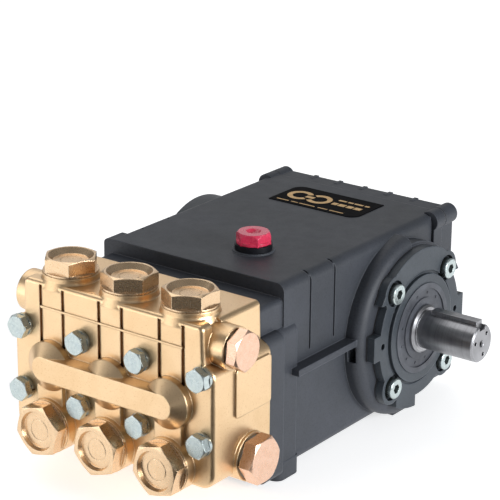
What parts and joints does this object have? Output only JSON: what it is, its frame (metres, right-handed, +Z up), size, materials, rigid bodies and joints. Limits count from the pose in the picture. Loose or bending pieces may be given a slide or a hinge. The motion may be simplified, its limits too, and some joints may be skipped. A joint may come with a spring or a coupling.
{
  "type": "pressure washer pump",
  "caption": "Triplex plunger pump head: brass valve manifold on a dark finned crankcase with a keyed drive shaft, valve caps, side ports and a red oil filler plug.",
  "frame": {"origin": "centre of the four mounting holes, on the plane of the feet", "axes": "+X along the crankshaft out of its driven end, +Y from the brass manifold towards the rear cover, +Z up"},
  "size_m": [0.277, 0.356, 0.1666],
  "materials": {
    "cast_brass": "satin sand-cast and tumbled",
    "turned_brass": "turned and milled",
    "plug_brass": "turned and milled, pinker",
    "cover_casting": "satin charcoal over die-cast aluminium",
    "zinc_steel": "bright zinc plate",
    "gasket_aluminium": "matt",
    "dark_casting": "satin charcoal over die-cast aluminium",
    "gasket_paper": "matt",
    "sight_ring_aluminium": "machined",
    "sight_lens": "clear, oil behind",
    "black_rubber": "matt",
    "polished_steel": "ground and polished",
    "bearing_steel": "ground",
    "black_plastic": "satin",
    "red_plastic": "gloss",
    "label_film": "satin film",
    "stainless": "turned",
    "valve_plastic": "satin",
    "rod_aluminium": "as cast",
    "white_ceramic": "ground and polished"
  },
  "bodies": {
    "pump_body": {"manifold": "cast_brass", "top_valve_caps": "turned_brass", "bottom_valve_caps": "turned_brass", "cap_o_rings": "black_rubber", "valve_seats": "stainless", "valve_cages": "valve_plastic", "manifold_bolts": "zinc_steel", "lock_washers": "zinc_steel", "discharge_plug": "plug_brass", "inlet_plug": "plug_brass", "plug_washers": "gasket_aluminium", "crankcase": "dark_casting", "rear_cover": "dark_casting", "rear_cover_gasket": "gasket_paper", "rear_cover_screws": "zinc_steel", "sight_glass_ring": "sight_ring_aluminium", "sight_glass_lens": "sight_lens", "drain_plug": "zinc_steel", "drive_bearing_cover": "cover_casting", "blind_bearing_cover": "cover_casting", "bearing_cover_gaskets": "gasket_paper", "bearing_cover_screws": "zinc_steel", "shaft_seal": "black_rubber", "bearing_outer_races": "bearing_steel", "plunger_oil_seals": "black_rubber", "packing_seals": "black_rubber", "packing_retainers": "turned_brass", "filler_collar": "black_plastic", "label_plate": "label_film", "inlet_springs": "stainless", "discharge_spring_1": "stainless", "discharge_spring_2": "stainless", "discharge_spring_3": "stainless"},
    "crank": {"crankshaft": "polished_steel", "shaft_key": "polished_steel", "bearing_inner_races": "bearing_steel"},
    "bearing_cages": {"bearing_rollers": "bearing_steel"},
    "plunger_set_1": {"crosshead_1": "stainless", "wrist_pin_1": "bearing_steel", "plunger_1": "white_ceramic", "plunger_screw_1": "stainless"},
    "rod_1": {"connecting_rod_1": "rod_aluminium"},
    "discharge_valve_1": {"discharge_poppet_1": "stainless"},
    "inlet_valve_1": {"inlet_poppet_1": "stainless"},
    "plunger_set_2": {"crosshead_2": "stainless", "wrist_pin_2": "bearing_steel", "plunger_2": "white_ceramic", "plunger_screw_2": "stainless"},
    "rod_2": {"connecting_rod_2": "rod_aluminium"},
    "discharge_valve_2": {"discharge_poppet_2": "stainless"},
    "inlet_valve_2": {"inlet_poppet_2": "stainless"},
    "plunger_set_3": {"crosshead_3": "stainless", "wrist_pin_3": "bearing_steel", "plunger_3": "white_ceramic", "plunger_screw_3": "stainless"},
    "rod_3": {"connecting_rod_3": "rod_aluminium"},
    "discharge_valve_3": {"discharge_poppet_3": "stainless"},
    "inlet_valve_3": {"inlet_poppet_3": "stainless"},
    "filler": {"filler_plug": "red_plastic"}
  },
  "joints": [
    {"name": "crank_turn", "type": "hinge", "parent": "pump_body", "child": "crank", "pos_m": [0, 0.047, 0.077], "axis": [1, 0, 0], "continuous": true},
    {"name": "cage_turn", "type": "hinge", "parent": "pump_body", "child": "bearing_cages", "pos_m": [0, 0.047, 0.077], "axis": [1, 0, 0], "continuous": true},
    {"name": "plunger_slide_1", "type": "slide", "parent": "pump_body", "child": "plunger_set_1", "axis": [0, 1, 0], "range_m": [-0.02, 0]},
    {"name": "rod_swing_1", "type": "hinge", "parent": "plunger_set_1", "child": "rod_1", "pos_m": [-0.055, -0.038, 0.077], "axis": [1, 0, 0], "range_deg": [-6.04, 6.04]},
    {"name": "discharge_lift_1", "type": "slide", "parent": "pump_body", "child": "discharge_valve_1", "axis": [0, 0, 1], "range_m": [0, 0.003], "stiffness_N_per_m": 1500, "springref_m": -0.001, "deforming": ["discharge_spring_1"]},
    {"name": "inlet_lift_1", "type": "slide", "parent": "pump_body", "child": "inlet_valve_1", "axis": [0, -1, 0], "range_m": [0, 0.003], "stiffness_N_per_m": 1500, "springref_m": -0.001},
    {"name": "plunger_slide_2", "type": "slide", "parent": "pump_body", "child": "plunger_set_2", "axis": [0, 1, 0], "range_m": [-0.0054, 0.0146]},
    {"name": "rod_swing_2", "type": "hinge", "parent": "plunger_set_2", "child": "rod_2", "pos_m": [0, -0.0526, 0.077], "axis": [1, 0, 0], "range_deg": [-11.27, 0.81]},
    {"name": "discharge_lift_2", "type": "slide", "parent": "pump_body", "child": "discharge_valve_2", "axis": [0, 0, 1], "range_m": [0, 0.003], "stiffness_N_per_m": 1500, "springref_m": -0.001, "deforming": ["discharge_spring_2"]},
    {"name": "inlet_lift_2", "type": "slide", "parent": "pump_body", "child": "inlet_valve_2", "axis": [0, -1, 0], "range_m": [0, 0.003], "stiffness_N_per_m": 1500, "springref_m": -0.001},
    {"name": "plunger_slide_3", "type": "slide", "parent": "pump_body", "child": "plunger_set_3", "axis": [0, 1, 0], "range_m": [-0.0054, 0.0146]},
    {"name": "rod_swing_3", "type": "hinge", "parent": "plunger_set_3", "child": "rod_3", "pos_m": [0.055, -0.0526, 0.077], "axis": [1, 0, 0], "range_deg": [-0.81, 11.27]},
    {"name": "discharge_lift_3", "type": "slide", "parent": "pump_body", "child": "discharge_valve_3", "axis": [0, 0, 1], "range_m": [0, 0.003], "stiffness_N_per_m": 1500, "springref_m": -0.001, "deforming": ["discharge_spring_3"]},
    {"name": "inlet_lift_3", "type": "slide", "parent": "pump_body", "child": "inlet_valve_3", "axis": [0, -1, 0], "range_m": [0, 0.003], "stiffness_N_per_m": 1500, "springref_m": -0.001},
    {"name": "filler_lift", "type": "slide", "parent": "pump_body", "child": "filler", "axis": [0, 0, 1], "range_m": [0, 0.025]}
  ],
  "couplings": [
    {"joint": "cage_turn", "follows": "crank_turn", "ratio": 0.45}
  ]
}
